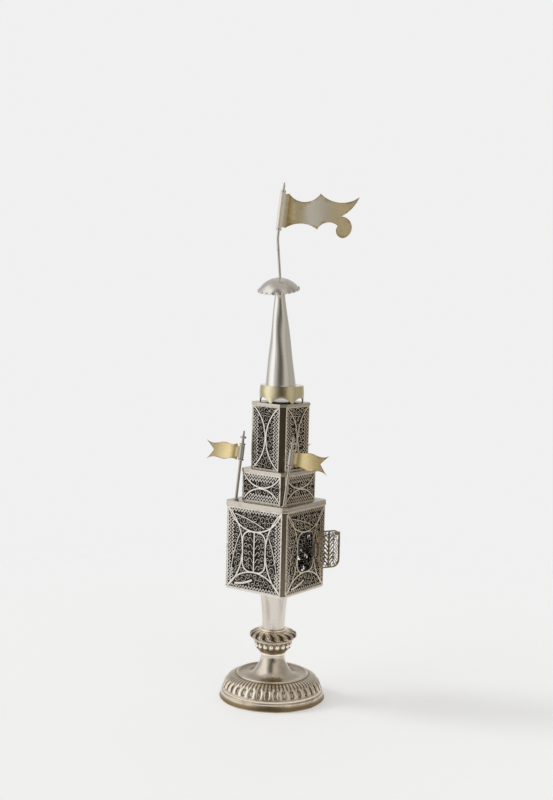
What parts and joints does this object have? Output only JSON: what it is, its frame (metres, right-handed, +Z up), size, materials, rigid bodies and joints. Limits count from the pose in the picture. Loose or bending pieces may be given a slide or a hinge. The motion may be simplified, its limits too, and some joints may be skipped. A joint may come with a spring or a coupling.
{
  "type": "besamim spice box",
  "caption": "Free-standing silver filigree spice tower on a gadrooned foot, with an oval hinged door, turning corner flags and a turning pennant on its spire.",
  "frame": {"origin": "centre of the foot's underside, on the table", "axes": "+Z up along the tower, +X out of the wall with the door, -Y out of the front wall"},
  "size_m": [0.0645, 0.0528, 0.2503],
  "materials": {
    "plain_silver": "worn polish",
    "chased_silver": "worn polish with dark tarnish in the hollows",
    "filigree": "wire with dark tarnish between",
    "dark_strip": "tarnished sheet",
    "gilt": "worn gilding",
    "hinge": "tarnished wire",
    "rod_steel": "dull"
  },
  "bodies": {
    "tower": {"box_corner_front_left": "dark_strip", "box_corner_front_right": "dark_strip", "box_corner_rear_left": "dark_strip", "box_corner_rear_right": "dark_strip", "box_floor": "plain_silver", "box_panel_door": "filigree", "box_panel_front": "filigree", "box_panel_left": "filigree", "box_panel_rear": "filigree", "box_roof": "plain_silver", "collar": "gilt", "door_lugs": "hinge", "door_pin": "hinge", "flagpole_finials": "plain_silver", "flagpole_front_left": "plain_silver", "flagpole_front_right": "plain_silver", "flagpole_rear_left": "plain_silver", "foot_dish": "plain_silver", "foot_gadroon_ring": "chased_silver", "foot_rim": "chased_silver", "foot_washer": "rod_steel", "knop_bowl": "chased_silver", "knop_cap": "chased_silver", "knop_girdle": "chased_silver", "mast": "plain_silver", "mast_finial": "plain_silver", "mast_stop": "plain_silver", "mid_corner_front_left": "dark_strip", "mid_corner_front_right": "dark_strip", "mid_corner_rear_left": "dark_strip", "mid_corner_rear_right": "dark_strip", "mid_panel_door": "filigree", "mid_panel_front": "filigree", "mid_panel_left": "filigree", "mid_panel_rear": "filigree", "mid_roof": "plain_silver", "neck_ring": "chased_silver", "spire_cone": "plain_silver", "spire_dome": "plain_silver", "stem_collar": "chased_silver", "stem_trumpet": "plain_silver", "tie_rod": "rod_steel", "tie_rod_nuts": "rod_steel", "upper_corner_front_left": "dark_strip", "upper_corner_front_right": "dark_strip", "upper_corner_rear_left": "dark_strip", "upper_corner_rear_right": "dark_strip", "upper_panel_door": "filigree", "upper_panel_front": "filigree", "upper_panel_left": "filigree", "upper_panel_rear": "filigree", "upper_roof": "plain_silver"},
    "door": {"door_leaf": "filigree", "door_knuckle": "hinge", "door_catch": "hinge"},
    "main_flag": {"main_flag": "gilt"},
    "front_left_flag": {"flag_front_left": "gilt"},
    "front_right_flag": {"flag_front_right": "gilt"},
    "rear_left_flag": {"flag_rear_left": "gilt"}
  },
  "joints": [
    {"name": "door_hinge", "type": "hinge", "parent": "tower", "child": "door", "pos_m": [0.01865, 0.007, 0.07475], "axis": [0, 0, 1], "range_deg": [-155, 10]},
    {"name": "main_flag_turn", "type": "hinge", "parent": "tower", "child": "main_flag", "pos_m": [-0.00217, -0.00152, 0.2239], "axis": [0.0814, 0.057, 0.9951], "continuous": true},
    {"name": "front_left_flag_turn", "type": "hinge", "parent": "tower", "child": "front_left_flag", "pos_m": [-0.01395, -0.01425, 0.0984], "axis": [0.0785, 0.055, 0.9954], "range_deg": [-95, 165]},
    {"name": "front_right_flag_turn", "type": "hinge", "parent": "tower", "child": "front_right_flag", "pos_m": [0.015, -0.015, 0.0984], "axis": [0.0927, 0.0649, 0.9936], "range_deg": [-200, 70]},
    {"name": "rear_left_flag_turn", "type": "hinge", "parent": "tower", "child": "rear_left_flag", "pos_m": [-0.015, 0.015, 0.0984], "axis": [0.0571, 0.04, 0.9976], "range_deg": [-35, 235]}
  ]
}
